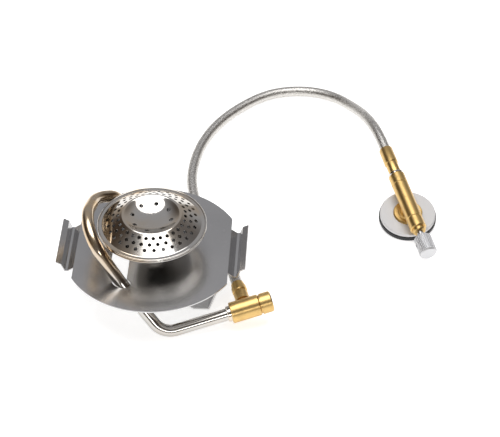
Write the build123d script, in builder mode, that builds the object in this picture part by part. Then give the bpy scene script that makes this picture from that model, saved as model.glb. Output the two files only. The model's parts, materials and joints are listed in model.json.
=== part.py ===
"""A remote-canister camping stove: burner on a reflector plate, bent generator tube, swivel
block, braided hose, and a canister connector with a hand valve.

Frame: origin on the ground under the burner, +Z up, millimetres.
"""
from build123d import *
import math
import os

os.makedirs("parts", exist_ok=True)

# ---- driving dimensions, in millimetres and degrees ----
PLATE_Z = 30.0              # top of the reflector plate above the ground
PLATE_R = 52.0              # round front and back edges of the plate
PLATE_FLAT = 44.3           # half width between the plate's two straight sides
PLATE_T = 0.8
HOOK_W = 37.0               # width of the two side hooks and of the base bracket
LIP_X = 54.3                # outer edge of each hook

RIM_Z = 48.6                # joint between the cap and the bowl of the burner
RIM_R = 30.7                # centre of the rolled rim beads
BEAD_R = 0.6
HEAD_T = 0.6                # burner sheet, measured upwards
FLAME_HOLE_R = 1.1
FLAME_ROWS = (19.3, 22.4, 25.2)
FLAME_COUNT = 30
FLAME_START = 2.0           # first hole of the cone, in degrees from +X
PORT_HOLE_R = 1.3
PORT_RING_R = 11.4
PORT_COUNT = 8
PORT_START = 37.0           # first hole of the dish, in degrees from +X

MIX_R = 6.0                 # mixing tube, outside
MIX_BORE_R = 5.0
MIX_FOOT_Z = 12.5
MIX_TOP_Z = 38.0
HOLDER_R = 7.0              # jet holder
HOLDER_PORT_Z = 7.2
SPIGOT_R = 3.8              # rear tube nut's spigot and the flat that it seats on
SPIGOT_FACE = 6.2

TUBE_R = 3.6                # generator tube, outside
TUBE_BORE_R = 2.7
TUBE_RUN = 40.4             # low bend's corner to the swivel block

BLOCK_R = 6.2               # swivel block
BLOCK_L = 17.4
BOLT_HEAD_L = 7.2
BLOCK_END = Vector(46.7, -31.6, 10.8)
BLOCK_HEADING = 17.0        # direction of the block's axis, from +X towards +Y
BLOCK_RISE = 10.0           # and its slope above level

HOSE_R = 3.3
FERRULE_R = 4.2
FERRULE_L = 14.0
PORT_ALONG = 9.0            # hose port's place along the block

DISC_CENTRE = Vector(148.9, 62.2, 8.25)     # middle of the canister disc's top face
DISC_LEAN = 10.0            # the connector leans forward on its socket
VALVE_HEADING = 18.0        # valve axis, from -Y towards +X
VALVE_H = 8.0               # valve axis above the disc
VALVE_R = 5.0
VALVE_BACK = -23.4          # ends of the valve body along its axis
VALVE_FRONT = 19.2
SPINDLE_R = 2.0
RUN_CLEAR = 0.05            # radial clearance of the spindle in its bores
KNOB_BACK = 24.7
KNOB_FRONT = 38.2
KNOB_R = 5.4
KNURLS = 30
FAR_FERRULE_L = 20.0
DISC_R = 16.9
DISC_T = 1.8
SEAL_R = 17.4
SEAL_T = 3.6
SOCKET_R = 7.0
SOCKET_BOTTOM = -7.2
SOCKET_ROOF = -1.2          # inner end of the socket
RELIEF_FROM = -3.2          # thread runs from here to the mouth
UNEF_R = 5.3                # minor radius of the female canister thread
FIT = 0.05                  # gap round the banjo bolt's stem


def direction(heading, slope):
    """Unit vector from a heading in the XY plane and a slope above it, in degrees."""
    flat = math.cos(math.radians(slope))
    return Vector(
        flat * math.cos(math.radians(heading)),
        flat * math.sin(math.radians(heading)),
        math.sin(math.radians(slope)),
    )


def finish(piece, name):
    """Label a finished piece and write its STEP file."""
    piece.part.label = name
    export_step(piece.part, f"parts/{name}.step")


# ---- reference planes: in each SIDE plane x runs along the axis and y is the radius ----
BLOCK_DIR = direction(BLOCK_HEADING, BLOCK_RISE)
PORT_DIR = direction(BLOCK_HEADING + 90, 0)
BLOCK_SIDE = Plane(origin=BLOCK_END, x_dir=BLOCK_DIR, z_dir=PORT_DIR)
BLOCK_AXIS = Axis(BLOCK_END, BLOCK_DIR)
PORT_CENTRE = BLOCK_END + BLOCK_DIR * PORT_ALONG
PORT_SIDE = Plane(origin=PORT_CENTRE, x_dir=PORT_DIR, z_dir=BLOCK_DIR)
PORT_AXIS = Axis(PORT_CENTRE, PORT_DIR)
PORT_START = BLOCK_R - 1.6
PORT_TIP = BLOCK_R + FERRULE_L

DISC_UP = direction(-90, 90 - DISC_LEAN)
VALVE_FLAT = direction(VALVE_HEADING - 90, 0)
VALVE_DIR = (VALVE_FLAT - DISC_UP * VALVE_FLAT.dot(DISC_UP)).normalized()
VALVE_CROSS = VALVE_DIR.cross(DISC_UP)
DISC_SIDE = Plane(origin=DISC_CENTRE, x_dir=VALVE_DIR, z_dir=VALVE_CROSS)
DISC_TOP = Plane(origin=DISC_CENTRE, x_dir=VALVE_DIR, z_dir=DISC_UP)
DISC_AXIS = Axis(DISC_CENTRE, DISC_UP)
VALVE_CENTRE = DISC_CENTRE + DISC_UP * VALVE_H
VALVE_SIDE = Plane(origin=VALVE_CENTRE, x_dir=VALVE_DIR, z_dir=VALVE_CROSS)
VALVE_AXIS = Axis(VALVE_CENTRE, VALVE_DIR)
VALVE_END_VIEW = Plane(origin=VALVE_CENTRE, x_dir=DISC_UP, z_dir=VALVE_DIR)

# ---- burner cap: rolled rim, perforated cone, rounded crest and a round-bottomed dish ----
CAP_LINE = [(RIM_R, 49.5), (28.6, 49.5), (16.5, 56.95), (8.1, 52.0), (0.0, 52.0)]
CAP_BENDS = [1.2, 1.5, 28.0]
CONE_SLOPE = math.atan2(CAP_LINE[2][1] - CAP_LINE[1][1], CAP_LINE[1][0] - CAP_LINE[2][0])
DISH_SLOPE = math.atan2(CAP_LINE[2][1] - CAP_LINE[3][1], CAP_LINE[2][0] - CAP_LINE[3][0])
DISH_FLAT = CAP_LINE[3][0] - CAP_BENDS[2] * math.tan(DISH_SLOPE / 2)
PORT_TILT = math.asin((PORT_RING_R - DISH_FLAT) / CAP_BENDS[2])
PORT_Z = CAP_LINE[4][1] + CAP_BENDS[2] * (1 - math.cos(PORT_TILT))


def lowered(line, drop):
    """The same outline, lower by the sheet's thickness."""
    return [(r, z - drop) for r, z in line]


def hole_ring(ring_r, ring_z, tilt, count, start):
    """Planes square to a sloping sheet, evenly round the burner's axis."""
    planes = []
    for k in range(count):
        turn = math.radians(start + 360 * k / count)
        out = Vector(math.cos(turn), math.sin(turn), 0)
        normal = out * math.sin(tilt) + Vector(0, 0, math.cos(tilt))
        planes.append(Plane(origin=out * ring_r + Vector(0, 0, ring_z) + normal, z_dir=normal))
    return planes


with BuildPart() as burner_cap:
    with BuildSketch(Plane.XZ):
        with BuildLine():
            cap_top = FilletPolyline(*CAP_LINE, radius=CAP_BENDS)
            cap_under = FilletPolyline(*lowered(CAP_LINE, HEAD_T), radius=CAP_BENDS)
            Line(cap_top @ 0, cap_under @ 0)
            Line(cap_top @ 1, cap_under @ 1)
        make_face()
    revolve(axis=Axis.Z)
    with BuildSketch(Plane.XZ):
        with Locations((RIM_R, RIM_Z + BEAD_R)):
            Circle(BEAD_R)
    revolve(axis=Axis.Z)
    flame_holes = []
    for row, ring_r in enumerate(FLAME_ROWS):
        ring_z = CAP_LINE[1][1] + (CAP_LINE[1][0] - ring_r) * math.tan(CONE_SLOPE)
        stagger = FLAME_START + row * 180 / FLAME_COUNT
        flame_holes += hole_ring(ring_r, ring_z, CONE_SLOPE, FLAME_COUNT, stagger)
    with Locations(*flame_holes):
        Hole(FLAME_HOLE_R, depth=3)
    with Locations(*hole_ring(PORT_RING_R, PORT_Z, -PORT_TILT, PORT_COUNT, PORT_START)):
        Hole(PORT_HOLE_R, depth=3)
finish(burner_cap, "burner_cap")

# ---- burner bowl under the cap, with its own rim bead ----
BOWL_LINE = [(RIM_R, 48.1), (27.8, 48.1), (22.6, 41.6), (9.6, 38.6), (MIX_R, 37.4)]
BOWL_BENDS = [1.6, 5.0, 3.0]
with BuildPart() as burner_bowl:
    with BuildSketch(Plane.XZ):
        with BuildLine():
            bowl_top = FilletPolyline(*BOWL_LINE, radius=BOWL_BENDS)
            bowl_under = FilletPolyline(*lowered(BOWL_LINE, HEAD_T), radius=BOWL_BENDS)
            Line(bowl_top @ 0, bowl_under @ 0)
            Line(bowl_top @ 1, bowl_under @ 1)
        make_face()
    revolve(axis=Axis.Z)
    with BuildSketch(Plane.XZ):
        with Locations((RIM_R, RIM_Z - BEAD_R)):
            Circle(BEAD_R)
    revolve(axis=Axis.Z)
    with BuildSketch(Plane.XY.offset(34.4)):
        Circle(MIX_R + 1.4)
        Circle(MIX_R, mode=Mode.SUBTRACT)
    extrude(amount=2.7)
finish(burner_bowl, "burner_bowl")

# ---- flame gauze: a perforated disc on a ring inside the bowl ----
GAUZE_Z = 45.2
GAUZE_R = 24.4
with BuildPart() as flame_gauze:
    with BuildSketch(Plane.XY.offset(GAUZE_Z)):
        Circle(GAUZE_R)
        for gauze_ring in (6.0, 11.0, 16.0, 21.0):
            with PolarLocations(gauze_ring, round(gauze_ring * 1.6)):
                Circle(1.0, mode=Mode.SUBTRACT)
    extrude(amount=0.5)
finish(flame_gauze, "flame_gauze")

# ---- mixing tube with air holes, from the jet up into the bowl ----
AIR_HOLE_Z = 18.0
with BuildPart() as mixing_tube:
    with BuildSketch(Plane.XY.offset(MIX_FOOT_Z)):
        Circle(MIX_R)
        Circle(MIX_BORE_R, mode=Mode.SUBTRACT)
    extrude(amount=MIX_TOP_Z - MIX_FOOT_Z)
    for quarter in (45, 135):
        air_dir = direction(quarter, 0)
        with Locations(Plane(origin=air_dir * 8 + Vector(0, 0, AIR_HOLE_Z), z_dir=air_dir)):
            Hole(2.4, depth=16)
    chamfer(mixing_tube.edges().group_by(Axis.Z)[-1], 0.3)
finish(mixing_tube, "mixing_tube")

# ---- plate nut and washer that clamp the plate on the mixing tube ----
with BuildPart() as plate_nut:
    with BuildSketch(Plane.XY.offset(PLATE_Z - PLATE_T - 4.6)):
        RegularPolygon(8.6, 6, major_radius=False)
        Circle(MIX_R, mode=Mode.SUBTRACT)
    extrude(amount=4.6)
finish(plate_nut, "plate_nut")

with BuildPart() as plate_washer:
    with BuildSketch(Plane.XY.offset(PLATE_Z)):
        Circle(9.0)
        Circle(MIX_R, mode=Mode.SUBTRACT)
    extrude(amount=0.8)
finish(plate_washer, "plate_washer")

with BuildPart() as collar_nut:
    with BuildSketch(Plane.XY.offset(PLATE_Z + 0.8)):
        RegularPolygon(8.0, 6, major_radius=False)
        Circle(MIX_R, mode=Mode.SUBTRACT)
    extrude(amount=3.6)
finish(collar_nut, "collar_nut")

# ---- generator tube: rises from the swivel block, loops beside the flame, drops to the jet ----
REAR_DIR = Vector(-0.42, 0.91, 0).normalized()
TUBE_END = REAR_DIR * (HOLDER_R + 0.5) + Vector(0, 0, HOLDER_PORT_Z)
TUBE_ROUTE = [
    TUBE_END,
    REAR_DIR * 36.5 + Vector(0, 0, HOLDER_PORT_Z),
    Vector(-18.1, 32.0, 29.3),
    Vector(-23.8, 26.8, 45.7),
    Vector(-34.4, 18.0, 51.7),
    Vector(-36.5, -3.6, 58.2),
    Vector(-32.4, -22.1, 55.0),
    Vector(-16.2, -29.1, 30.4),
    BLOCK_END - BLOCK_DIR * TUBE_RUN,
    BLOCK_END + BLOCK_DIR * 1.5,
]
TUBE_BENDS = [9.0, 14.0, 14.0, 20.0, 22.0, 20.0, 22.0, 12.0]
FRONT_CROSSING = Vector(-15.5, -29.5)  # where the tube passes the middle of the plate
REAR_CROSSING = Vector(-18.3, 31.9)
with BuildPart() as generator_tube:
    with BuildLine():
        tube_line = FilletPolyline(*TUBE_ROUTE, radius=TUBE_BENDS)
    with BuildSketch(Plane(origin=tube_line @ 0, z_dir=tube_line % 0)):
        Circle(TUBE_R)
        Circle(TUBE_BORE_R, mode=Mode.SUBTRACT)
    sweep()
finish(generator_tube, "generator_tube")

# ---- reflector plate: flat sheet with two straight sides that turn into open hooks ----
HOOK_LINE = [
    (PLATE_FLAT - 0.4, PLATE_Z - PLATE_T / 2),
    (47.6, 26.9),
    (49.4, 26.9),
    (51.3, 31.9),
    (LIP_X, 33.5),
]
PLATE_WINDOW = [(-23.0, 8.0), (-12.7, 8.0), (-12.7, -28.5), (-18.0, -28.5), (-23.0, -21.0)]
with BuildPart() as reflector_plate:
    with BuildSketch(Plane.XY.offset(PLATE_Z - PLATE_T)):
        Circle(PLATE_R)
        Rectangle(2 * PLATE_FLAT, 2 * PLATE_R, mode=Mode.INTERSECT)
        Circle(MIX_R + 0.1, mode=Mode.SUBTRACT)
        Polygon(*PLATE_WINDOW, align=None, mode=Mode.SUBTRACT)
        with Locations(FRONT_CROSSING):
            Ellipse(5.7, 4.1, rotation=-27.6, mode=Mode.SUBTRACT)
        with Locations(REAR_CROSSING):
            Circle(5.2, mode=Mode.SUBTRACT)
    extrude(amount=PLATE_T)
    for side in (1, -1):
        with BuildSketch(Plane.XZ):
            with BuildLine():
                Polyline(*[(side * x, z) for x, z in HOOK_LINE])
            trace(line_width=PLATE_T)
        extrude(amount=HOOK_W / 2, both=True)
finish(reflector_plate, "reflector_plate")

# ---- base bracket: a foot on the ground, a leaning wall and a flange under the plate ----
BRACKET_T = 1.0
BRACKET_LINE = [
    (-12.0, BRACKET_T / 2),
    (33.0, BRACKET_T / 2),
    (42.6, PLATE_Z - PLATE_T - BRACKET_T / 2),
    (36.0, PLATE_Z - PLATE_T - BRACKET_T / 2),
]
SCREW_Y = 4.4
with BuildPart() as base_bracket:
    with BuildSketch(Plane.XZ):
        with BuildLine():
            Polyline(*BRACKET_LINE)
        trace(line_width=BRACKET_T)
    extrude(amount=HOOK_W / 2, both=True)
    with BuildSketch(Plane.XY):
        for side in (1, -1):
            with BuildLine():
                Polyline(
                    (24.0, side * HOOK_W / 2),
                    (10.0, side * 10.0),
                    (-6.0, side * 10.0),
                    (-14.0, side * 4.0),
                    (-14.0, side * HOOK_W),
                    (24.0, side * HOOK_W),
                    close=True,
                )
            make_face()
    extrude(amount=BRACKET_T + 0.5, mode=Mode.SUBTRACT)
    with Locations(Plane(origin=(0, 0, 0), z_dir=(0, 0, -1))):
        with Locations((0, SCREW_Y), (0, -SCREW_Y)):
            CounterSinkHole(1.3, 2.3, depth=3, counter_sink_angle=90)
finish(base_bracket, "base_bracket")

# ---- jet holder: turned brass body on the bracket, fed from the rear ----
HOLDER_TOP = 11.0
JET_THREAD_R = 2.5
with BuildPart() as jet_holder:
    with BuildSketch(Plane.XY.offset(BRACKET_T)):
        Circle(HOLDER_R)
    extrude(amount=HOLDER_TOP - BRACKET_T)
    with BuildSketch(Plane.XY.offset(HOLDER_TOP)):
        Circle(MIX_R)
    extrude(amount=MIX_FOOT_Z - HOLDER_TOP)
    with BuildSketch(Plane.XY.offset(MIX_FOOT_Z)):
        Circle(MIX_BORE_R)
    extrude(amount=1.5)
    with Locations((0, 0, MIX_FOOT_Z + 1.5)):
        Hole(JET_THREAD_R, depth=8.4)
    with Locations(Plane(origin=REAR_DIR * 9 + Vector(0, 0, HOLDER_PORT_Z), z_dir=REAR_DIR)):
        Hole(SPIGOT_R, depth=9 - SPIGOT_FACE)
        Hole(1.6, depth=9)
    with Locations(Plane(origin=(0, 0, BRACKET_T), z_dir=(0, 0, -1))):
        with Locations((0, SCREW_Y), (0, -SCREW_Y)):
            Hole(1.25, depth=3.4)
    chamfer(jet_holder.faces().sort_by(Axis.Z)[0].outer_wire().edges(), 0.4)
finish(jet_holder, "jet_holder")

# ---- two countersunk screws, flush under the bracket ----
for number, side in enumerate((1, -1), start=1):
    with BuildPart() as bracket_screw:
        with BuildSketch(Plane.YZ):
            Polygon(
                (0, 0), (2.25, 0), (1.25, 1.0), (1.25, 4.2), (0, 4.2), align=None
            )
        revolve(axis=Axis.Z)
        with BuildSketch(Plane.XY):
            Rectangle(3.4, 0.6)
        extrude(amount=0.5, mode=Mode.SUBTRACT)
    bracket_screw.part = bracket_screw.part.moved(Location((0, side * SCREW_Y, 0)))
    finish(bracket_screw, f"bracket_screw_{number}")

# ---- jet and its seal ----
SEAL_Z = MIX_FOOT_Z + 1.5
with BuildPart() as jet_seal:
    with BuildSketch(Plane.XY.offset(SEAL_Z)):
        Circle(3.6)
        Circle(JET_THREAD_R, mode=Mode.SUBTRACT)
    extrude(amount=0.6)
finish(jet_seal, "jet_seal")

with BuildPart() as jet_nozzle:
    with BuildSketch(Plane.XY.offset(SEAL_Z + 0.6)):
        RegularPolygon(3.5, 6, major_radius=False)
    extrude(amount=2.4)
    with BuildSketch(Plane.XZ):
        Polygon(
            (0, SEAL_Z - 4.4), (JET_THREAD_R, SEAL_Z - 4.4), (JET_THREAD_R, SEAL_Z + 3),
            (1.0, SEAL_Z + 5.4), (0, SEAL_Z + 5.4), align=None,
        )
    revolve(axis=Axis.Z)
    with Locations((0, 0, SEAL_Z + 5.4)):
        Hole(0.25)
    with Locations(Plane(origin=(0, 0, SEAL_Z - 4.4), z_dir=(0, 0, -1))):
        Hole(1.4, depth=8)
finish(jet_nozzle, "jet_nozzle")

# ---- rear tube nut, brazed on the generator tube at the jet holder ----
with BuildPart() as rear_tube_nut:
    with BuildSketch(Plane(origin=TUBE_END, x_dir=(0, 0, 1), z_dir=REAR_DIR)):
        RegularPolygon(5.4, 6, major_radius=False)
        Circle(TUBE_R, mode=Mode.SUBTRACT)
    extrude(amount=5.0)
    with BuildSketch(
        Plane(origin=TUBE_END, x_dir=(0, 0, 1), z_dir=REAR_DIR)
    ):
        Circle(SPIGOT_R)
        Circle(1.6, mode=Mode.SUBTRACT)
    extrude(amount=SPIGOT_FACE - HOLDER_R - 0.5)
finish(rear_tube_nut, "rear_tube_nut")

# ---- swivel block: cross-drilled brass body, banjo bolt, seals and collar ----
STEM_R = 3.2
with BuildPart() as tube_collar:
    with BuildSketch(BLOCK_SIDE):
        Polygon((-2.2, TUBE_R), (-2.2, 4.2), (-1.8, 4.6), (0, 4.6), (0, TUBE_R), align=None)
    revolve(axis=BLOCK_AXIS)
finish(tube_collar, "tube_collar")

with BuildPart() as swivel_body:
    with BuildSketch(BLOCK_SIDE):
        Polygon(
            (0, 0), (0, BLOCK_R - 0.5), (0.5, BLOCK_R), (BLOCK_L - 0.7, BLOCK_R),
            (BLOCK_L, BLOCK_R - 0.7), (BLOCK_L, 0), align=None,
        )
    revolve(axis=BLOCK_AXIS)
    with BuildSketch(BLOCK_SIDE):
        Polygon(
            (0, 0), (0, TUBE_R), (1.5, TUBE_R), (1.5, 2.0), (5.0, 2.0), (5.0, STEM_R + FIT),
            (BLOCK_L, STEM_R + FIT), (BLOCK_L, 0), align=None,
        )
    revolve(axis=BLOCK_AXIS, mode=Mode.SUBTRACT)
    with BuildSketch(PORT_SIDE):
        Polygon((0, 0), (0, 1.4), (PORT_START, 1.4), (PORT_START, 3.4), (8, 3.4), (8, 0), align=None)
    revolve(axis=PORT_AXIS, mode=Mode.SUBTRACT)
finish(swivel_body, "swivel_body")

with BuildPart() as banjo_bolt:
    with BuildSketch(BLOCK_SIDE):
        Polygon(
            (5.4, 1.2), (5.4, 2.2), (6.0, 2.2), (6.0, STEM_R), (6.6, STEM_R), (6.6, 2.3), (7.8, 2.3),
            (7.8, 2.0), (10.4, 2.0), (10.4, 2.3), (11.6, 2.3), (11.6, STEM_R),
            (BLOCK_L, STEM_R), (BLOCK_L, 5.4), (BLOCK_L + 0.7, 5.4), (BLOCK_L + 0.7, BLOCK_R - 0.1),
            (BLOCK_L + BOLT_HEAD_L - 0.8, BLOCK_R - 0.1), (BLOCK_L + BOLT_HEAD_L, BLOCK_R - 0.9),
            (BLOCK_L + BOLT_HEAD_L, 0), (PORT_ALONG + 1, 0), (PORT_ALONG + 1, 1.2), align=None,
        )
    revolve(axis=BLOCK_AXIS)
    with Locations(Plane(origin=PORT_CENTRE + PORT_DIR * 4, z_dir=PORT_DIR)):
        Hole(0.8, depth=8)
    bolt_face = Plane(
        origin=BLOCK_END + BLOCK_DIR * (BLOCK_L + BOLT_HEAD_L), x_dir=PORT_DIR, z_dir=BLOCK_DIR
    ).rotated((0, 0, 35))
    with BuildSketch(bolt_face):
        Rectangle(2 * BLOCK_R + 1, 1.5)
    extrude(amount=-1.7, mode=Mode.SUBTRACT)
finish(banjo_bolt, "banjo_bolt")

for number, along in enumerate((6.65, 10.45), start=1):
    with BuildPart() as swivel_seal:
        with BuildSketch(BLOCK_SIDE):
            Polygon(
                (along, 2.3), (along, STEM_R), (along + 1.1, STEM_R), (along + 1.1, 2.3), align=None
            )
        revolve(axis=BLOCK_AXIS)
    finish(swivel_seal, f"swivel_seal_{number}")

# ---- hose ferrule at the block: threaded spigot, hexless crimp barrel and a thin sleeve ----
with BuildPart() as near_ferrule:
    with BuildSketch(PORT_SIDE):
        Polygon(
            (PORT_START, 1.4), (PORT_START, 3.35), (BLOCK_R, 3.35), (BLOCK_R, FERRULE_R),
            (BLOCK_R + 6.0, FERRULE_R), (BLOCK_R + 6.5, FERRULE_R - 0.5),
            (BLOCK_R + 7.2, FERRULE_R - 0.5), (BLOCK_R + 7.7, FERRULE_R + 0.2),
            (BLOCK_R + 11.0, FERRULE_R + 0.2), (BLOCK_R + 11.6, FERRULE_R - 0.4),
            (PORT_TIP, HOSE_R + 0.5), (PORT_TIP, HOSE_R - 1.2), (BLOCK_R + 9, 1.4), align=None,
        )
    revolve(axis=PORT_AXIS)
finish(near_ferrule, "near_ferrule")

# ---- braided hose: straight out of the port, down to the ground, round to the connector ----
FAR_START = VALVE_BACK - 1.6
FAR_TIP = FAR_START - FAR_FERRULE_L
HOSE_NEAR = PORT_CENTRE + PORT_DIR * PORT_TIP
HOSE_FAR = VALVE_CENTRE + VALVE_DIR * FAR_TIP
HOSE_ROUTE = [
    HOSE_NEAR,
    HOSE_NEAR + PORT_DIR * 13.0,
    (42.0, 19.5, 9.4),
    (36.0, 36.0, 5.2),
    (27.5, 52.0, 3.6),
    (19.0, 69.0, 3.4),
    (14.6, 89.0, 3.4),
    (15.0, 109.5, 3.4),
    (19.6, 131.0, 3.4),
    (29.0, 150.5, 3.4),
    (42.6, 167.0, 3.4),
    (57.8, 179.6, 3.4),
    (74.3, 184.6, 3.4),
    (90.4, 182.8, 4.4),
    (103.6, 174.0, 7.2),
    (112.8, 160.2, 12.0),
    (119.6, 145.6, 18.3),
    (125.2, 130.4, 23.6),
    HOSE_FAR - VALVE_DIR * 13.0,
    HOSE_FAR,
]


def hose_bends(route):
    """Each corner's arc: 0.45 of its shorter run over the tangent of half its turn."""
    bends = []
    for before, corner, after in zip(route, route[1:], route[2:]):
        arrive = Vector(*corner) - Vector(*before)
        leave = Vector(*after) - Vector(*corner)
        half_turn = math.radians(arrive.get_angle(leave)) / 2
        bends.append(0.45 * min(arrive.length, leave.length) / math.tan(half_turn))
    return bends


HOSE_POINTS = [tuple(point) for point in HOSE_ROUTE]
HOSE_BENDS = hose_bends(HOSE_POINTS)
with BuildPart() as hose:
    with BuildLine():
        hose_line = FilletPolyline(*HOSE_POINTS, radius=HOSE_BENDS)
    with BuildSketch(Plane(origin=hose_line @ 0, z_dir=hose_line % 0)):
        Circle(HOSE_R)
    sweep()
finish(hose, "hose")
print("hose bend radii", [round(bend, 1) for bend in HOSE_BENDS])
print("hose length", round(hose_line.length, 1))
print("hose volume over section", round(hose.part.volume / (math.pi * HOSE_R**2), 1))
print("hose points", [tuple(round(v, 2) for v in point) for point in HOSE_POINTS])

# ---- far ferrule and the swivel ring at the valve ----
with BuildPart() as far_ferrule:
    with BuildSketch(VALVE_SIDE):
        Polygon(
            (FAR_TIP, HOSE_R - 1.2), (FAR_TIP, 4.0), (FAR_TIP + 0.5, 4.2), (FAR_TIP + 11.5, 4.2),
            (FAR_TIP + 12.0, 3.7), (FAR_START - 1.0, 3.7), (FAR_START, 3.4), (FAR_START, 1.4),
            (FAR_TIP + 6.0, 1.4), align=None,
        )
    revolve(axis=VALVE_AXIS)
finish(far_ferrule, "far_ferrule")

with BuildPart() as inlet_ring:
    with BuildSketch(VALVE_SIDE):
        Polygon(
            (FAR_START, 1.4), (FAR_START, 4.4), (FAR_START + 0.3, 4.7), (VALVE_BACK - 0.3, 4.7),
            (VALVE_BACK, 4.4), (VALVE_BACK, 1.4), align=None,
        )
    revolve(axis=VALVE_AXIS)
finish(inlet_ring, "inlet_ring")

# ---- valve body: long brass barrel on a neck, bored for the spindle ----
SEAT_S = -3.0
BORE_R = 2.9
with BuildPart() as valve_body:
    with BuildSketch(VALVE_SIDE):
        Polygon(
            (VALVE_BACK, 0), (VALVE_BACK, VALVE_R - 0.5), (VALVE_BACK + 0.5, VALVE_R),
            (VALVE_BACK + 7.0, VALVE_R), (VALVE_BACK + 7.3, VALVE_R - 0.35),
            (VALVE_BACK + 8.0, VALVE_R - 0.35), (VALVE_BACK + 8.3, VALVE_R),
            (11.0, VALVE_R), (11.3, VALVE_R - 0.35), (12.0, VALVE_R - 0.35), (12.3, VALVE_R),
            (VALVE_FRONT - 0.6, VALVE_R), (VALVE_FRONT, VALVE_R - 0.6), (VALVE_FRONT, 0), align=None,
        )
    revolve(axis=VALVE_AXIS)
    with BuildSketch(DISC_TOP.offset(1.4)):
        Circle(4.4)
    extrude(amount=VALVE_H - 1.4)
    with BuildSketch(VALVE_SIDE):
        Polygon(
            (VALVE_BACK, 0), (VALVE_BACK, 1.4), (SEAT_S - 1.2, 1.4), (SEAT_S, BORE_R),
            (VALVE_FRONT, BORE_R), (VALVE_FRONT, 0), align=None,
        )
    revolve(axis=VALVE_AXIS, mode=Mode.SUBTRACT)
    with BuildSketch(DISC_TOP):
        Circle(1.4)
    extrude(amount=VALVE_H, mode=Mode.SUBTRACT)
finish(valve_body, "valve_body")

# ---- gland nut, in the valve's mouth ----
GLAND_BACK = VALVE_FRONT - 4.0
with BuildPart() as gland_nut:
    with BuildSketch(VALVE_SIDE):
        Polygon(
            (GLAND_BACK, SPINDLE_R + RUN_CLEAR), (GLAND_BACK, BORE_R), (VALVE_FRONT, BORE_R),
            (VALVE_FRONT, 3.9), (VALVE_FRONT + 1.7, 3.9), (VALVE_FRONT + 2.2, 3.4),
            (VALVE_FRONT + 2.2, SPINDLE_R + RUN_CLEAR), align=None,
        )
    revolve(axis=VALVE_AXIS)
finish(gland_nut, "gland_nut")

# ---- spindle: needle tip, sealed piston, stem out through the gland ----
GROOVE_S = 9.6
with BuildPart() as valve_spindle:
    with BuildSketch(VALVE_SIDE):
        Polygon(
            (SEAT_S - 2.2, 0), (SEAT_S - 2.0, 0.5), (SEAT_S - 1.15, 1.3),
            (SEAT_S + 0.06, BORE_R - RUN_CLEAR), (SEAT_S + 0.6, BORE_R - RUN_CLEAR),
            (SEAT_S + 0.9, 1.5), (4.0, 1.5), (4.4, BORE_R - RUN_CLEAR),
            (GROOVE_S, BORE_R - RUN_CLEAR), (GROOVE_S, 1.9),
            (GROOVE_S + 1.6, 1.9), (GROOVE_S + 1.6, BORE_R - RUN_CLEAR),
            (12.6, BORE_R - RUN_CLEAR), (12.6, SPINDLE_R), (36.0, SPINDLE_R), (36.0, 0), align=None,
        )
    revolve(axis=VALVE_AXIS)
finish(valve_spindle, "valve_spindle")

with BuildPart() as spindle_seal:
    with BuildSketch(VALVE_SIDE):
        with Locations((GROOVE_S + 0.8, 2.42)):
            Circle(0.43)
    revolve(axis=VALVE_AXIS)
finish(spindle_seal, "spindle_seal")

# ---- knurled knob on the spindle, held by a grub screw ----
KNURL_R = 0.34
with BuildPart() as knob:
    with BuildSketch(VALVE_SIDE):
        Polygon(
            (KNOB_BACK, SPINDLE_R), (KNOB_BACK, 3.6), (KNOB_BACK + 1.2, 3.6),
            (KNOB_BACK + 1.2, KNOB_R - 0.6), (KNOB_BACK + 1.8, KNOB_R), (KNOB_FRONT - 0.8, KNOB_R),
            (KNOB_FRONT, KNOB_R - 0.8), (KNOB_FRONT, 0), (36.0, 0), (36.0, SPINDLE_R), align=None,
        )
    revolve(axis=VALVE_AXIS)
    with BuildSketch(VALVE_END_VIEW.offset(KNOB_BACK + 1.0)):
        with PolarLocations(KNOB_R, KNURLS):
            Circle(KNURL_R)
    extrude(amount=KNOB_FRONT - KNOB_BACK, mode=Mode.SUBTRACT)
    grub_plane = Plane(
        origin=VALVE_CENTRE + VALVE_DIR * 31.0 + VALVE_CROSS * (KNOB_R + 1), z_dir=VALVE_CROSS
    )
    with Locations(grub_plane):
        Hole(1.25, depth=KNOB_R + 1 - SPINDLE_R + 0.2)
finish(knob, "knob")

with BuildPart() as knob_screw:
    with BuildSketch(
        Plane(origin=VALVE_CENTRE + VALVE_DIR * 31.0 + VALVE_CROSS * SPINDLE_R, z_dir=VALVE_CROSS)
    ):
        Circle(1.2)
    extrude(amount=2.6)
    with BuildSketch(
        Plane(origin=VALVE_CENTRE + VALVE_DIR * 31.0 + VALVE_CROSS * 4.6, z_dir=VALVE_CROSS)
    ):
        RegularPolygon(0.6, 6)
    extrude(amount=-1.0, mode=Mode.SUBTRACT)
finish(knob_screw, "knob_screw")

# ---- canister connector: collar, disc, rubber seal, threaded socket and pin ----
with BuildPart() as canister_collar:
    with BuildSketch(DISC_SIDE):
        Polygon(
            (1.4, 0), (8.8, 0), (8.8, 1.0), (8.3, 1.5), (6.0, 1.5), (5.6, 2.3), (4.4, 2.3),
            (4.4, 1.4), (1.4, 1.4), align=None,
        )
    revolve(axis=DISC_AXIS)
finish(canister_collar, "canister_collar")

with BuildPart() as canister_disc:
    with BuildSketch(DISC_SIDE):
        Polygon(
            (SOCKET_R, -DISC_T), (DISC_R, -DISC_T), (DISC_R, -0.5), (DISC_R - 0.5, 0),
            (SOCKET_R, 0), align=None,
        )
    revolve(axis=DISC_AXIS)
finish(canister_disc, "canister_disc")

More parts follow.
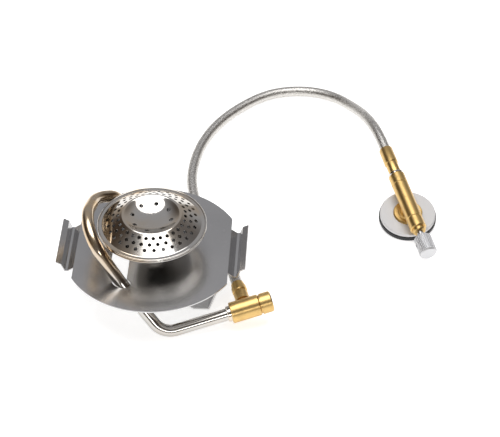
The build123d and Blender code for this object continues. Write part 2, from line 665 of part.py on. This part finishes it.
with BuildPart() as canister_seal:
    with BuildSketch(DISC_SIDE):
        Polygon(
            (SOCKET_R, -DISC_T), (DISC_R, -DISC_T), (SEAL_R, -DISC_T - 0.5),
            (SEAL_R, -DISC_T - SEAL_T + 0.6), (SEAL_R - 0.6, -DISC_T - SEAL_T),
            (12.5, -DISC_T - SEAL_T), (11.5, -DISC_T - 1.8), (SOCKET_R, -DISC_T - 1.8), align=None,
        )
    revolve(axis=DISC_AXIS)
finish(canister_seal, "canister_seal")

with BuildPart() as connector_socket:
    with BuildSketch(DISC_SIDE):
        Polygon(
            (1.4, 0), (SOCKET_R, 0), (SOCKET_R, SOCKET_BOTTOM + 0.5),
            (SOCKET_R - 0.5, SOCKET_BOTTOM), (UNEF_R + 0.4, SOCKET_BOTTOM),
            (UNEF_R, SOCKET_BOTTOM + 0.4), (UNEF_R, RELIEF_FROM), (UNEF_R + 0.6, RELIEF_FROM),
            (UNEF_R + 0.6, SOCKET_ROOF), (1.4, SOCKET_ROOF), align=None,
        )
    revolve(axis=DISC_AXIS)
finish(connector_socket, "connector_socket")

with BuildPart() as depressor_pin:
    with BuildSketch(DISC_SIDE):
        Polygon(
            (0.5, SOCKET_ROOF), (3.2, SOCKET_ROOF), (3.2, SOCKET_ROOF - 0.6),
            (1.2, SOCKET_ROOF - 0.6), (1.2, RELIEF_FROM + 0.4), (0.9, RELIEF_FROM + 0.1),
            (0.5, RELIEF_FROM + 0.1), align=None,
        )
    revolve(axis=DISC_AXIS)
finish(depressor_pin, "depressor_pin")
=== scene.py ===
"""Camping stove: finishes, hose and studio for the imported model, laid out as an add-on."""
import json
import math

import bpy
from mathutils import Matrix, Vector


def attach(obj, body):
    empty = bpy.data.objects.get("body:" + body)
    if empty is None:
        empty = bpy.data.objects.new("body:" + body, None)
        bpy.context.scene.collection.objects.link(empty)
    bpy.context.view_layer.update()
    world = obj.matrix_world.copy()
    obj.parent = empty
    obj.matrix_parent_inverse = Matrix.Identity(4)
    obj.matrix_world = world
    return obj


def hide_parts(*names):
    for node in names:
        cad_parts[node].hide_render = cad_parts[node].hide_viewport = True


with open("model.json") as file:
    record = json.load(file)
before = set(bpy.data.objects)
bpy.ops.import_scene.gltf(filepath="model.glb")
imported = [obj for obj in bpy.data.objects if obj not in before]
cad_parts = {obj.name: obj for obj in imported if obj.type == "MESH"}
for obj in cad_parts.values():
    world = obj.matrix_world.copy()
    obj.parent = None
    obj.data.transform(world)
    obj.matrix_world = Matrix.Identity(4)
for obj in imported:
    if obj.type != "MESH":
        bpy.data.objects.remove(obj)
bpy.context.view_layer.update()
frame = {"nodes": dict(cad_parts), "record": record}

bl_info = {
    "name": "Camping Stove",
    "version": (1, 0, 0),
    "blender": (4, 5, 0),
    "location": "View3D > Sidebar > Stove",
    "description": "Builds a remote-canister camping stove's looks round its CAD model",
    "category": "Object",
}

BODY_OF = {
    node: body for body, nodes in frame["record"]["behaviour"]["bodies"].items() for node in nodes
}
SLOT_OF = {part["node"]: part["material_slot"] for part in frame["record"]["subparts"]}
JOINTS = {joint["name"]: joint for joint in frame["record"]["behaviour"]["joints"]}
VALVE_AXIS = Vector(JOINTS["knob_turn"]["axis"])
MOUNTS = {mount["name"]: mount for mount in frame["record"]["mounts"]}
DISC_UP = -Vector(MOUNTS["canister_thread"]["axis"])
BLOCK_AXIS = (0.9418, 0.2879, 0.1736)   # bore of the swivel block
MM = 0.001

CAMERA_PLACE = (0.0963, -0.7656, 0.7514)
CAMERA_HEADING = math.radians(-3.01)    # from +Y, towards +X
CAMERA_DROP = math.radians(42.22)       # below the horizon

# Burner sheets, in millimetres: (radius, height) corners of their top faces, and the bends.
RIM_R = 30.7
BEAD_R = 0.6
BEAD_STEPS = 16
HEAD_T = 0.6
SPIN_STEPS = 200
ARC_STEP = 0.45               # length of one facet on a bend
PEG_LENGTH = 3.0              # cuts through the sheet at any slope
CAP_LINE = [(RIM_R, 49.5), (28.6, 49.5), (16.5, 56.95), (8.1, 52.0), (0.0, 52.0)]
CAP_BENDS = [1.2, 1.5, 28.0]
CAP_BEAD_Z = 49.2
BOWL_LINE = [(RIM_R, 48.1), (27.8, 48.1), (22.6, 41.6), (9.6, 38.6), (6.05, 37.4)]
BOWL_BENDS = [1.6, 5.0, 3.0]
BOWL_BEAD_Z = 48.0
BOWL_COLLAR = [(6.05, 34.4), (7.2, 34.4), (7.4, 34.6), (7.4, 37.3), (6.05, 37.3)]
FLAME_HOLE_R = 1.1
FLAME_ROWS = (19.3, 22.4, 25.2)
FLAME_COUNT = 30
FLAME_START = math.radians(2)
PORT_HOLE_R = 1.3
PORT_RING_R = 11.4
PORT_COUNT = 8
PORT_START = math.radians(37)

# The hose's route from the swivel block to the connector, in metres.
HOSE_ROUTE = [
    (0.04927, -0.00969, 0.01236),
    (0.04547, 0.00274, 0.01236),
    (0.0420, 0.0195, 0.0094),
    (0.0360, 0.0360, 0.0052),
    (0.0275, 0.0520, 0.0036),
    (0.0190, 0.0690, 0.0034),
    (0.0146, 0.0890, 0.0034),
    (0.0150, 0.1095, 0.0034),
    (0.0196, 0.1310, 0.0034),
    (0.0290, 0.1505, 0.0034),
    (0.0426, 0.1670, 0.0034),
    (0.0578, 0.1796, 0.0034),
    (0.0743, 0.1846, 0.0034),
    (0.0904, 0.1828, 0.0044),
    (0.1036, 0.1740, 0.0072),
    (0.1128, 0.1602, 0.0120),
    (0.1196, 0.1456, 0.0183),
    (0.1252, 0.1304, 0.0236),
    (0.13073, 0.11505, 0.02569),
    (0.1348, 0.1029, 0.02355),
]
STRANDS_AROUND = 9


# ---- properties ----
class StoveSizes(bpy.types.PropertyGroup):
    hose_diameter: bpy.props.FloatProperty(
        name="Hose diameter", description="Over the braid", default=6.6 * MM, unit="LENGTH"
    )
    hose_length: bpy.props.FloatProperty(
        name="Hose length", description="Between its ferrules", default=0.340, unit="LENGTH"
    )
    braid_pitch: bpy.props.FloatProperty(
        name="Braid pitch", description="Length of one crossing of the braid",
        default=1.9 * MM, unit="LENGTH",
    )
    smooth_angle: bpy.props.FloatProperty(
        name="Smooth angle", description="Edges sharper than this stay crisp",
        default=math.radians(28), subtype="ANGLE",
    )
    lens: bpy.props.FloatProperty(name="Lens", description="Camera focal length in mm", default=131.3)


class StoveColours(bpy.types.PropertyGroup):
    polished: bpy.props.FloatVectorProperty(
        name="Polished steel", description="Burner and rings", subtype="COLOR",
        default=(0.62, 0.60, 0.57),
    )
    satin: bpy.props.FloatVectorProperty(
        name="Satin steel", description="Plate and bracket", subtype="COLOR",
        default=(0.51, 0.505, 0.505),
    )
    wire: bpy.props.FloatVectorProperty(
        name="Wire", description="Braid on the hose", subtype="COLOR", default=(0.62, 0.60, 0.57)
    )
    tint: bpy.props.FloatVectorProperty(
        name="Heat tint", description="Straw colour that heat leaves on steel", subtype="COLOR",
        default=(0.66, 0.46, 0.24),
    )
    brass: bpy.props.FloatVectorProperty(
        name="Brass", description="Turned fittings", subtype="COLOR", default=(0.68, 0.46, 0.18)
    )
    aluminium: bpy.props.FloatVectorProperty(
        name="Aluminium", description="Knob", subtype="COLOR", default=(0.66, 0.66, 0.67)
    )
    disc: bpy.props.FloatVectorProperty(
        name="Disc", description="Connector's disc", subtype="COLOR", default=(0.72, 0.715, 0.72)
    )
    rubber: bpy.props.FloatVectorProperty(
        name="Rubber", description="Seals", subtype="COLOR", default=(0.018, 0.018, 0.02)
    )
    fibre: bpy.props.FloatVectorProperty(
        name="Fibre", description="Jet seal", subtype="COLOR", default=(0.30, 0.07, 0.04)
    )


def sizes():
    return bpy.context.scene.stove_sizes


def colours():
    return bpy.context.scene.stove_colours


# ---- shader maths ----
class Value:
    """A shader socket that adds its own Math nodes when it is used in an expression."""

    def __init__(self, shader, socket):
        self.shader = shader
        self.socket = socket

    def _math(self, operation, first, second=None):
        inputs = {0: first} if second is None else {0: first, 1: second}
        return self.shader.node("ShaderNodeMath", {"operation": operation}, inputs)[0]

    def __add__(self, other):
        return self._math("ADD", self, other)

    def __sub__(self, other):
        return self._math("SUBTRACT", self, other)

    def __rsub__(self, other):
        return self._math("SUBTRACT", other, self)

    def __mul__(self, other):
        return self._math("MULTIPLY", self, other)

    def __pow__(self, other):
        return self._math("POWER", self, other)

    def __abs__(self):
        return self._math("ABSOLUTE", self)

    __radd__ = __add__
    __rmul__ = __mul__

    def sine(self):
        return self._math("SINE", self)

    def clamp(self, low=0.0, high=1.0):
        return self._math("MINIMUM", self._math("MAXIMUM", self, low), high)


class Tree:
    """Short ways to add nodes to a node tree."""

    def __init__(self, tree):
        self.tree = tree

    def node(self, kind, settings=None, inputs=None):
        """Adds a node, sets it up, then fills its sockets; returns its outputs as values."""
        node = self.tree.nodes.new(kind)
        for name, value in (settings or {}).items():
            if name == "stops":
                ramp = node.color_ramp
                while len(ramp.elements) < len(value):
                    ramp.elements.new(0.5)
                for element, (place, colour) in zip(ramp.elements, value):
                    element.position = place
                    element.color = colour
            else:
                setattr(node, name, value)
        for key, value in (inputs or {}).items():
            self.put(node.inputs[key], value)
        return [Value(self, socket) for socket in node.outputs]

    def put(self, socket, value):
        if isinstance(value, Value):
            self.tree.links.new(value.socket, socket)
        else:
            socket.default_value = value

    def split(self, vector):
        return self.node("ShaderNodeSeparateXYZ", None, {0: vector})

    def smooth(self, value, low, high):
        settings = {"interpolation_type": "SMOOTHSTEP"}
        inputs = {"Value": value, "From Min": low, "From Max": high}
        return self.node("ShaderNodeMapRange", settings, inputs)[0]

    def mix(self, factor, first, second):
        settings = {"data_type": "RGBA"}
        first, second = (
            v if isinstance(v, Value) else (*tuple(v)[:3], 1.0) for v in (first, second)
        )
        return self.node("ShaderNodeMix", settings, {0: factor, 6: first, 7: second})[2]


class Shader(Tree):
    """One material with a Principled BSDF."""

    def __init__(self, name, **fixed):
        self.material = bpy.data.materials.new(name)
        self.material.use_nodes = True
        super().__init__(self.material.node_tree)
        self.surface = self.tree.nodes["Principled BSDF"]
        for socket, value in fixed.items():
            self.surface.inputs[socket.replace("_", " ")].default_value = value

    def feed(self, socket, value):
        self.put(self.surface.inputs[socket], value)

    def place(self):
        return self.node("ShaderNodeTexCoord")[3]

    def uv(self):
        return self.node("ShaderNodeTexCoord")[2]

    def along(self, axis, vector=None):
        """Distance of a point along an axis."""
        vector = vector or self.place()
        settings = {"operation": "DOT_PRODUCT"}
        return self.node("ShaderNodeVectorMath", settings, {0: vector, 1: tuple(axis)})[1]

    def noise(self, scale, detail=2.0, stretch=(1, 1, 1), rough=0.5):
        mapped = self.node("ShaderNodeMapping", None, {0: self.place(), 3: stretch})[0]
        inputs = {"Vector": mapped, "Scale": scale, "Detail": detail, "Roughness": rough}
        return self.node("ShaderNodeTexNoise", None, inputs)[0]

    def rings(self, axis, scale, detail=3.0):
        """Fine turning lines round an axis."""
        inputs = {"W": self.along(axis), "Scale": scale, "Detail": detail, "Roughness": 0.7}
        return self.node("ShaderNodeTexNoise", {"noise_dimensions": "1D"}, inputs)[0]

    def bump(self, height, distance, strength=1.0):
        inputs = {"Height": height, "Distance": distance, "Strength": strength}
        self.feed("Normal", self.node("ShaderNodeBump", None, inputs)[0])


def shade(colour, factor):
    return tuple(c * factor for c in tuple(colour)[:3])


# ---- materials, one function for each finish ----
def polished_steel():
    """Mirror-polished stainless with faint haze and specks, browned a little by heat."""
    m = Shader("polished_steel", Metallic=1.0)
    haze = m.smooth(m.noise(90, 4, rough=0.6), 0.42, 0.72)
    specks = m.smooth(m.noise(1100, 1), 0.72, 0.80)
    warm = m.smooth(m.noise(38, 2), 0.42, 0.72)
    base = m.mix(warm * 0.45, colours().polished, colours().tint)
    m.feed("Base Color", m.mix(specks * 0.4, base, shade(colours().polished, 0.5)))
    m.feed("Roughness", 0.08 + haze * 0.05 + specks * 0.10)
    m.bump(m.noise(60, 2), 0.00003, 0.25)
    return m.material


def satin_steel():
    """Rolled sheet: fine lengthwise grain, stray scratches, dull specks."""
    m = Shader("satin_sheet_steel", Metallic=1.0)
    grain = m.noise(160, 5, (0.5, 9, 9), 0.7)
    scratch = m.smooth(m.noise(70, 6, (1.3, 22, 8), 0.75), 0.63, 0.70)
    cross = m.smooth(m.noise(50, 6, (24, 1.1, 8), 0.75), 0.66, 0.72)
    cloud = m.noise(28, 3)
    specks = m.smooth(m.noise(520, 2), 0.68, 0.74)
    tone = m.mix(cloud, shade(colours().satin, 0.92), shade(colours().satin, 1.08))
    tone = m.mix(scratch * 0.25 + cross * 0.15, tone, shade(colours().satin, 1.4))
    m.feed("Base Color", m.mix(specks * 0.3, tone, shade(colours().satin, 1.5)))
    m.feed("Roughness", (0.17 + grain * 0.09 + cloud * 0.05 - scratch * 0.04).clamp(0.12, 0.7))
    m.bump(m.noise(150, 1, (0.5, 8, 8)) + scratch * 0.3, 0.000006, 0.3)
    return m.material


def heated_steel():
    """Bright tube steel, straw to bronze where the flame heats the arch."""
    m = Shader("heated_tube_steel", Metallic=1.0)
    height = m.split(m.place())[2]
    arch = m.smooth(height + m.noise(40, 2) * 0.010, 0.034, 0.056)
    cloud = m.smooth(m.noise(120, 3), 0.35, 0.7)
    straw = (arch * (0.42 + cloud * 0.30) + cloud * 0.08).clamp()
    tone = m.mix(straw, shade(colours().polished, 0.85), colours().tint)
    bronze = m.smooth(m.noise(75, 2), 0.56, 0.76) * arch * 0.4
    m.feed("Base Color", m.mix(bronze, tone, shade(colours().tint, 0.5)))
    m.feed("Roughness", 0.10 + cloud * 0.06 + arch * 0.06)
    m.bump(m.noise(200, 3), 0.00004, 0.25)
    return m.material


def turned_brass(name, axis):
    """Satin brass with turning lines square to the axis and a few darker handling marks."""
    m = Shader(name, Metallic=1.0)
    lines = m.rings(axis, 2600)
    cloud = m.smooth(m.noise(110, 3), 0.35, 0.70)
    dull = m.smooth(m.noise(520, 3), 0.60, 0.74)
    tone = m.mix(cloud, colours().brass, shade(colours().brass, 0.88))
    warm = tuple(c * f for c, f in zip(colours().brass, (0.62, 0.46, 0.30)))
    m.feed("Base Color", m.mix(dull * 0.30 + m.smooth(lines, 0.62, 0.75) * 0.15, tone, warm))
    m.feed("Roughness", (0.30 + lines * 0.06 + dull * 0.08).clamp(0.1, 0.6))
    m.bump(lines + m.noise(700, 2) * 0.3, 0.00001, 0.3)
    return m.material


def bright_aluminium():
    """Bead-blasted bright aluminium."""
    m = Shader("bright_aluminium", Metallic=1.0)
    cloud = m.noise(200, 3)
    grain = m.noise(2400, 2)
    m.feed("Base Color", m.mix(cloud, shade(colours().aluminium, 0.93), colours().aluminium))
    m.feed("Roughness", (0.46 + grain * 0.12).clamp(0.1, 0.8))
    m.bump(grain, 0.00002, 0.4)
    return m.material


def disc_enamel():
    """Off-white coated disc with soft scuffs and fine dust."""
    m = Shader("disc_enamel", Coat_Weight=0.25, Coat_Roughness=0.15)
    scuff = m.smooth(m.noise(130, 5, (1, 6, 1), 0.7), 0.60, 0.75)
    cloud = m.noise(90, 3)
    tone = m.mix(cloud, shade(colours().disc, 0.96), colours().disc)
    m.feed("Base Color", m.mix(scuff * 0.15, tone, shade(colours().disc, 0.75)))
    m.feed("Roughness", 0.34 + scuff * 0.15)
    m.bump(m.noise(1500, 2), 0.00001, 0.4)
    return m.material


def black_rubber():
    """Matt rubber with a fine moulded grain and a little bloom."""
    m = Shader("black_rubber", Specular_IOR_Level=0.35)
    bloom = m.smooth(m.noise(160, 3), 0.50, 0.80)
    m.feed("Base Color", m.mix(bloom * 0.4, colours().rubber, shade(colours().rubber, 2.2)))
    m.feed("Roughness", 0.55 + bloom * 0.2)
    m.bump(m.noise(2600, 3), 0.00003, 0.5)
    return m.material


def red_fibre():
    """Pressed fibre washer."""
    m = Shader("red_fibre")
    grain = m.noise(1800, 4)
    m.feed("Base Color", m.mix(grain, shade(colours().fibre, 0.7), colours().fibre))
    m.feed("Roughness", 0.7 + grain * 0.2)
    m.bump(grain, 0.00005, 0.6)
    return m.material


def wire_braid():
    """Woven wire: two families of strands that cross over and under along the hose's own UV, with
    painted shade between the wires and a painted highlight along their crowns.
    """
    m = Shader("wire_braid", Metallic=1.0)
    length, around = m.split(m.uv())[:2]
    turns = 2 * math.pi * sizes().hose_length / sizes().braid_pitch
    carriers = 2 * math.pi * STRANDS_AROUND
    left = length * turns + around * carriers
    right = length * turns - around * carriers
    cross = left.sine() * right.sine()
    over = m.smooth(cross, -0.12, 0.12)
    wires = (left * 4).sine() * over + (right * 4).sine() * (1 - over)
    height = abs(cross) ** 0.5
    # 1 on the wire crowns, 0 between them; the near-black colour put between the wires is painted
    # shade
    crowns_vs_gap_shade = m.smooth(height, 0.05, 0.50)
    tone = m.mix(crowns_vs_gap_shade, shade(colours().wire, 0.10), colours().wire)
    # painted highlight: colour brighter than the wire along the strand crowns
    painted_glint = m.smooth(wires, 0.1, 1.0) * crowns_vs_gap_shade * 0.45
    m.feed("Base Color", m.mix(painted_glint, tone, shade(colours().wire, 1.5)))
    m.feed("Roughness", 0.34 - crowns_vs_gap_shade * 0.10 + m.noise(300, 2) * 0.06)
    m.bump(height + wires * 0.12, 0.00012, 0.6)
    return m.material


def make_materials():
    """One material for each finish; brass has turning lines square to each fitting's own axis."""
    return {
        "polished": polished_steel(),
        "satin_steel": satin_steel(),
        "heated_steel": heated_steel(),
        "brass": turned_brass("turned_brass", VALVE_AXIS),
        "brass_block": turned_brass("turned_brass_block", BLOCK_AXIS),
        "brass_upright": turned_brass("turned_brass_upright", DISC_UP),
        "aluminium": bright_aluminium(),
        "white_plastic": disc_enamel(),
        "rubber": black_rubber(),
        "fibre": red_fibre(),
        "braid": wire_braid(),
    }


FINISH_OF = {
    "swivel_body": "brass_block", "banjo_bolt": "brass_block", "near_ferrule": "brass_block",
    "jet_holder": "brass_upright", "jet_nozzle": "brass_upright", "rear_tube_nut": "brass_upright",
    "canister_collar": "brass_upright", "connector_socket": "brass_upright",
    "depressor_pin": "brass_upright",
}


FINISHES = {}                 # filled by the first operator that makes pieces


def finish_of(node):
    return FINISHES[FINISH_OF.get(node, SLOT_OF[node])]


# ---- modelling helpers ----
def choose(obj):
    """Selects one object alone and makes it active."""
    bpy.ops.object.select_all(action="DESELECT")
    obj.select_set(True)
    bpy.context.view_layer.objects.active = obj


def settle(obj, node):
    """Gives a finished piece its node's material, body and slot, in place of the CAD node."""
    obj.data.materials.clear()
    obj.data.materials.append(finish_of(node))
    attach(obj, BODY_OF[node])
    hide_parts(node)


def smooth_copy(node):
    """A copy of a CAD node with its doubles merged and its round faces shaded smooth."""
    choose(frame["nodes"][node])
    bpy.ops.object.duplicate()
    copy = bpy.context.active_object
    copy.name = f"{node}_finished"
    copy.data.name = copy.name
    choose(copy)
    bpy.ops.mesh.customdata_custom_splitnormals_clear()
    bpy.ops.object.mode_set(mode="EDIT")
    bpy.ops.mesh.select_all(action="SELECT")
    bpy.ops.mesh.remove_doubles(threshold=1e-6)
    bpy.ops.object.mode_set(mode="OBJECT")
    bpy.ops.object.shade_smooth_by_angle(angle=sizes().smooth_angle)
    settle(copy, node)


def rounded(points, radii, steps=8):
    """An outline with its inner corners rounded to the given radii."""
    outline = [points[0]]
    for before, corner, after, radius in zip(points, points[1:], points[2:], radii):
        before, corner, after = Vector(before), Vector(corner), Vector(after)
        arrive = (before - corner).normalized()
        leave = (after - corner).normalized()
        half = arrive.angle(leave) / 2
        centre = corner + (arrive + leave).normalized() * (radius / math.sin(half))
        start = corner + arrive * (radius / math.tan(half)) - centre
        end = corner + leave * (radius / math.tan(half)) - centre
        count = max(steps, round(start.angle(end) * radius / ARC_STEP))
        for k in range(count + 1):
            spoke = start.lerp(end, k / count).normalized() * radius
            outline.append(tuple(centre + spoke))
    outline.append(points[-1])
    return outline


def sheet_outline(line, bends, bead_z):
    """Section of a burner sheet: its top from the axis out, the rim bead, and its underside."""
    top = rounded(line, bends)
    rise, drop = line[0][1] - bead_z, line[0][1] - HEAD_T - bead_z
    first = -math.acos(rise / BEAD_R)
    last = 2 * math.pi - math.acos(drop / BEAD_R)
    bead = []
    for k in range(BEAD_STEPS + 1):
        turn = first + (last - first) * k / BEAD_STEPS
        bead.append((RIM_R + BEAD_R * math.sin(turn), bead_z + BEAD_R * math.cos(turn)))
    under = [(radius, height - HEAD_T) for radius, height in top]
    return top[:0:-1] + bead + under[1:]


def lathe(name, outline):
    """Spins an outline of (radius, height) pairs, in millimetres, round the burner's axis."""
    bpy.ops.object.select_all(action="DESELECT")
    bpy.ops.mesh.primitive_plane_add(size=MM)
    turned = bpy.context.active_object
    turned.name = turned.data.name = name
    bpy.ops.object.mode_set(mode="EDIT")
    bpy.ops.mesh.merge(type="CENTER")
    points = [Vector((radius, 0, height)) * MM for radius, height in outline]
    if outline[-1][0] > 0:
        points.append(points[0])
    bpy.ops.transform.translate(value=points[0])
    for here, there in zip(points, points[1:]):
        bpy.ops.mesh.extrude_region_move(TRANSFORM_OT_translate={"value": there - here})
    bpy.ops.mesh.select_all(action="SELECT")
    bpy.ops.mesh.remove_doubles(threshold=1e-7)
    bpy.ops.mesh.spin(steps=SPIN_STEPS, angle=2 * math.pi, center=(0, 0, 0), axis=(0, 0, 1))
    bpy.ops.mesh.select_all(action="SELECT")
    bpy.ops.mesh.remove_doubles(threshold=2e-6)
    bpy.ops.mesh.normals_make_consistent(inside=False)
    bpy.ops.object.mode_set(mode="OBJECT")
    return turned


def hole_ring(ring_r, ring_z, tilt, count, start, hole_r):
    """Middle, direction and radius of each hole in a ring on a sloping sheet."""
    holes = []
    for k in range(count):
        turn = start + 2 * math.pi * k / count
        out = Vector((math.cos(turn), math.sin(turn), 0))
        normal = out * math.sin(tilt) + Vector((0, 0, math.cos(tilt)))
        holes.append((out * ring_r + Vector((0, 0, ring_z)), normal, hole_r))
    return holes


def punch(sheet, pegs):
    """Cuts the pegs out of a sheet and removes them."""
    choose(sheet)
    bpy.ops.object.modifier_add(type="BOOLEAN")
    cut = sheet.modifiers[-1]
    cut.operation = "DIFFERENCE"
    cut.solver = "EXACT"
    cut.object = pegs
    bpy.ops.object.modifier_apply(modifier=cut.name)
    choose(pegs)
    bpy.ops.object.delete()


# ---- operators ----
class STOVE_OT_camera(bpy.types.Operator):
    """Places the camera above and in front of the stove"""

    bl_idname = "stove.camera"
    bl_label = "Camera"

    def execute(self, context):
        bpy.ops.object.camera_add(location=CAMERA_PLACE)
        camera = context.active_object
        camera.name = "camera"
        camera.data.lens = sizes().lens
        camera.data.sensor_width = 36.0
        level = math.cos(CAMERA_DROP)
        forward = Vector((
            math.sin(CAMERA_HEADING) * level,
            math.cos(CAMERA_HEADING) * level,
            -math.sin(CAMERA_DROP),
        ))
        camera.rotation_euler = forward.to_track_quat("-Z", "Y").to_euler()
        context.scene.camera = camera
        return {"FINISHED"}


class STOVE_OT_head(bpy.types.Operator):
    """Turns the perforated burner cap and the bowl under it"""

    bl_idname = "stove.head"
    bl_label = "Burner head"

    def execute(self, context):
        cap = lathe("burner_cap_finished", sheet_outline(CAP_LINE, CAP_BENDS, CAP_BEAD_Z))
        punch(cap, self.cutters())
        collar = lathe("bowl_collar", BOWL_COLLAR)
        bowl = lathe("burner_bowl_finished", sheet_outline(BOWL_LINE, BOWL_BENDS, BOWL_BEAD_Z))
        collar.select_set(True)
        bpy.ops.object.join()
        for piece, node in ((cap, "burner_cap"), (bowl, "burner_bowl")):
            choose(piece)
            bpy.ops.object.shade_smooth_by_angle(angle=math.radians(30))
            bpy.ops.object.modifier_add(type="WEIGHTED_NORMAL")
            piece.modifiers[-1].keep_sharp = True
            bpy.ops.object.modifier_apply(modifier=piece.modifiers[-1].name)
            settle(piece, node)
        return {"FINISHED"}

    def cutters(self):
        """One object that holds a peg for each flame hole and each port hole."""
        cone = math.atan2(CAP_LINE[2][1] - CAP_LINE[1][1], CAP_LINE[1][0] - CAP_LINE[2][0])
        holes = []
        for row, radius in enumerate(FLAME_ROWS):
            height = CAP_LINE[1][1] + (CAP_LINE[1][0] - radius) * math.tan(cone)
            start = FLAME_START + row * math.pi / FLAME_COUNT
            holes += hole_ring(radius, height, cone, FLAME_COUNT, start, FLAME_HOLE_R)
        dish = math.atan2(CAP_LINE[2][1] - CAP_LINE[3][1], CAP_LINE[2][0] - CAP_LINE[3][0])
        flat = CAP_LINE[3][0] - CAP_BENDS[2] * math.tan(dish / 2)
        tilt = math.asin((PORT_RING_R - flat) / CAP_BENDS[2])
        height = CAP_LINE[4][1] + CAP_BENDS[2] * (1 - math.cos(tilt))
        holes += hole_ring(PORT_RING_R, height, -tilt, PORT_COUNT, PORT_START, PORT_HOLE_R)
        bpy.ops.object.select_all(action="DESELECT")
        for number, (place, normal, radius) in enumerate(holes):
            bpy.ops.mesh.primitive_cylinder_add(
                vertices=20, radius=radius * MM, depth=PEG_LENGTH * MM, location=place * MM,
                rotation=normal.to_track_quat("Z", "X").to_euler(),
            )
            if number == 0:     # the other pegs are added inside this one's mesh
                pegs = bpy.context.active_object
                bpy.ops.object.transform_apply(location=True, rotation=True, scale=True)
                bpy.ops.object.mode_set(mode="EDIT")
        bpy.ops.object.mode_set(mode="OBJECT")
        return pegs


class STOVE_OT_hose(bpy.types.Operator):
    """Lays the braided hose from the swivel block to the canister connector"""

    bl_idname = "stove.hose"
    bl_label = "Hose"

    def execute(self, context):
        line = bpy.data.curves.new("hose_line", "CURVE")
        line.dimensions = "3D"
        spline = line.splines.new("NURBS")
        spline.points.add(len(HOSE_ROUTE) - 1)
        for point, place in zip(spline.points, HOSE_ROUTE):
            point.co = (*place, 1.0)
        spline.order_u = 3
        spline.use_endpoint_u = True
        spline.resolution_u = 12
        hose = bpy.data.objects.new("braided_hose", line)
        context.collection.objects.link(hose)
        centre = bpy.data.meshes.new_from_object(hose)
        line.bevel_depth = sizes().hose_diameter / 2
        line.bevel_resolution = 10
        line.use_fill_caps = True
        choose(hose)
        bpy.ops.object.convert(target="MESH")
        hose = context.active_object
        bpy.ops.object.shade_smooth_by_angle(angle=math.radians(50))
        settle(hose, "hose")
        return {"FINISHED"}


class STOVE_OT_fittings(bpy.types.Operator):
    """Makes the finishes, then gives every CAD piece apart from the hose, burner cap and burner bowl
    its own material and smooth shading
    """

    bl_idname = "stove.fittings"
    bl_label = "Plate and fittings"

    def execute(self, context):
        FINISHES.update(make_materials())
        for node in sorted(frame["nodes"]):
            if node not in ("hose", "burner_cap", "burner_bowl"):
                smooth_copy(node)
        return {"FINISHED"}


class STOVE_OT_stage(bpy.types.Operator):
    """Adds a pale floor, a soft sky and softboxes"""

    bl_idname = "stove.stage"
    bl_label = "Studio"

    def execute(self, context):
        bpy.ops.object.select_all(action="DESELECT")
        bpy.ops.mesh.primitive_plane_add(size=6.0, location=(0, 0, 0))
        floor = context.active_object
        floor.name = "studio_floor"
        m = Shader("studio_floor", Roughness=0.9, Specular_IOR_Level=0.0, Emission_Strength=0.70)
        m.feed("Base Color", (0.90, 0.90, 0.90, 1.0))
        m.feed("Emission Color", (1.0, 1.0, 1.0, 1.0))
        floor.data.materials.append(m.material)
        self.softbox("top", (0.03, 0.10, 1.1), (0.03, 0.10, 0), (1.15, 0.95), 7.8)
        self.softbox("front", (0.30, -1.0, 0.50), (0.05, 0, 0.02), (0.30, 0.16), 1.0)
        self.sky(context)
        context.scene.view_settings.view_transform = "Standard"
        return {"FINISHED"}

    def softbox(self, name, place, target, size, power):
        bpy.ops.object.light_add(type="AREA", location=place)
        light = bpy.context.active_object
        light.name = f"softbox_{name}"
        light.data.shape = "ELLIPSE"
        light.data.size, light.data.size_y = size
        light.data.energy = power
        toward = Vector(target) - Vector(place)
        light.rotation_euler = toward.to_track_quat("-Z", "Y").to_euler()

    def sky(self, context):
        """A grey room: bright overhead, dark warm sides, a paler band along the horizon."""
        world = bpy.data.worlds.new("studio_sky")
        context.scene.world = world
        world.use_nodes = True
        sky = Tree(world.node_tree)
        across, back, up = sky.split(sky.node("ShaderNodeTexCoord")[0])[:3]
        room = sky.mix(sky.smooth(back, -0.6, 0.5), (0.16, 0.15, 0.14), (0.41, 0.41, 0.425))
        sides = sky.smooth(abs(across), 0.42, 0.80)
        room = sky.mix(sides, room, (0.055, 0.040, 0.030))
        horizon = 1 - sky.smooth(up, 0.05, 0.30)
        room = sky.mix(horizon * 0.7, room, (0.42, 0.38, 0.34))
        room = sky.mix(sky.smooth(up, 0.86, 0.97), room, (0.85, 0.85, 0.86))
        background = world.node_tree.nodes["Background"]
        sky.put(background.inputs["Color"], room)


class STOVE_PT_panel(bpy.types.Panel):
    """Lists the stove's steps and sizes"""

    bl_label = "Camping stove"
    bl_idname = "STOVE_PT_panel"
    bl_space_type = "VIEW_3D"
    bl_region_type = "UI"
    bl_category = "Stove"

    def draw(self, context):
        for step in STEPS:
            self.layout.operator(step.bl_idname)
        for group in (context.scene.stove_sizes, context.scene.stove_colours):
            for name in group.__annotations__:
                self.layout.prop(group, name)


STEPS = (STOVE_OT_camera, STOVE_OT_fittings, STOVE_OT_head, STOVE_OT_hose, STOVE_OT_stage)
CLASSES = (StoveSizes, StoveColours, *STEPS, STOVE_PT_panel)


def register():
    for cls in CLASSES:
        bpy.utils.register_class(cls)
    bpy.types.Scene.stove_sizes = bpy.props.PointerProperty(type=StoveSizes)
    bpy.types.Scene.stove_colours = bpy.props.PointerProperty(type=StoveColours)


def unregister():
    del bpy.types.Scene.stove_colours
    del bpy.types.Scene.stove_sizes
    for cls in reversed(CLASSES):
        bpy.utils.unregister_class(cls)


def main():
    register()
    bpy.ops.stove.camera()
    bpy.ops.stove.fittings()
    bpy.ops.stove.head()
    bpy.ops.stove.hose()
    bpy.ops.stove.stage()


if __name__ == "__main__":
    main()
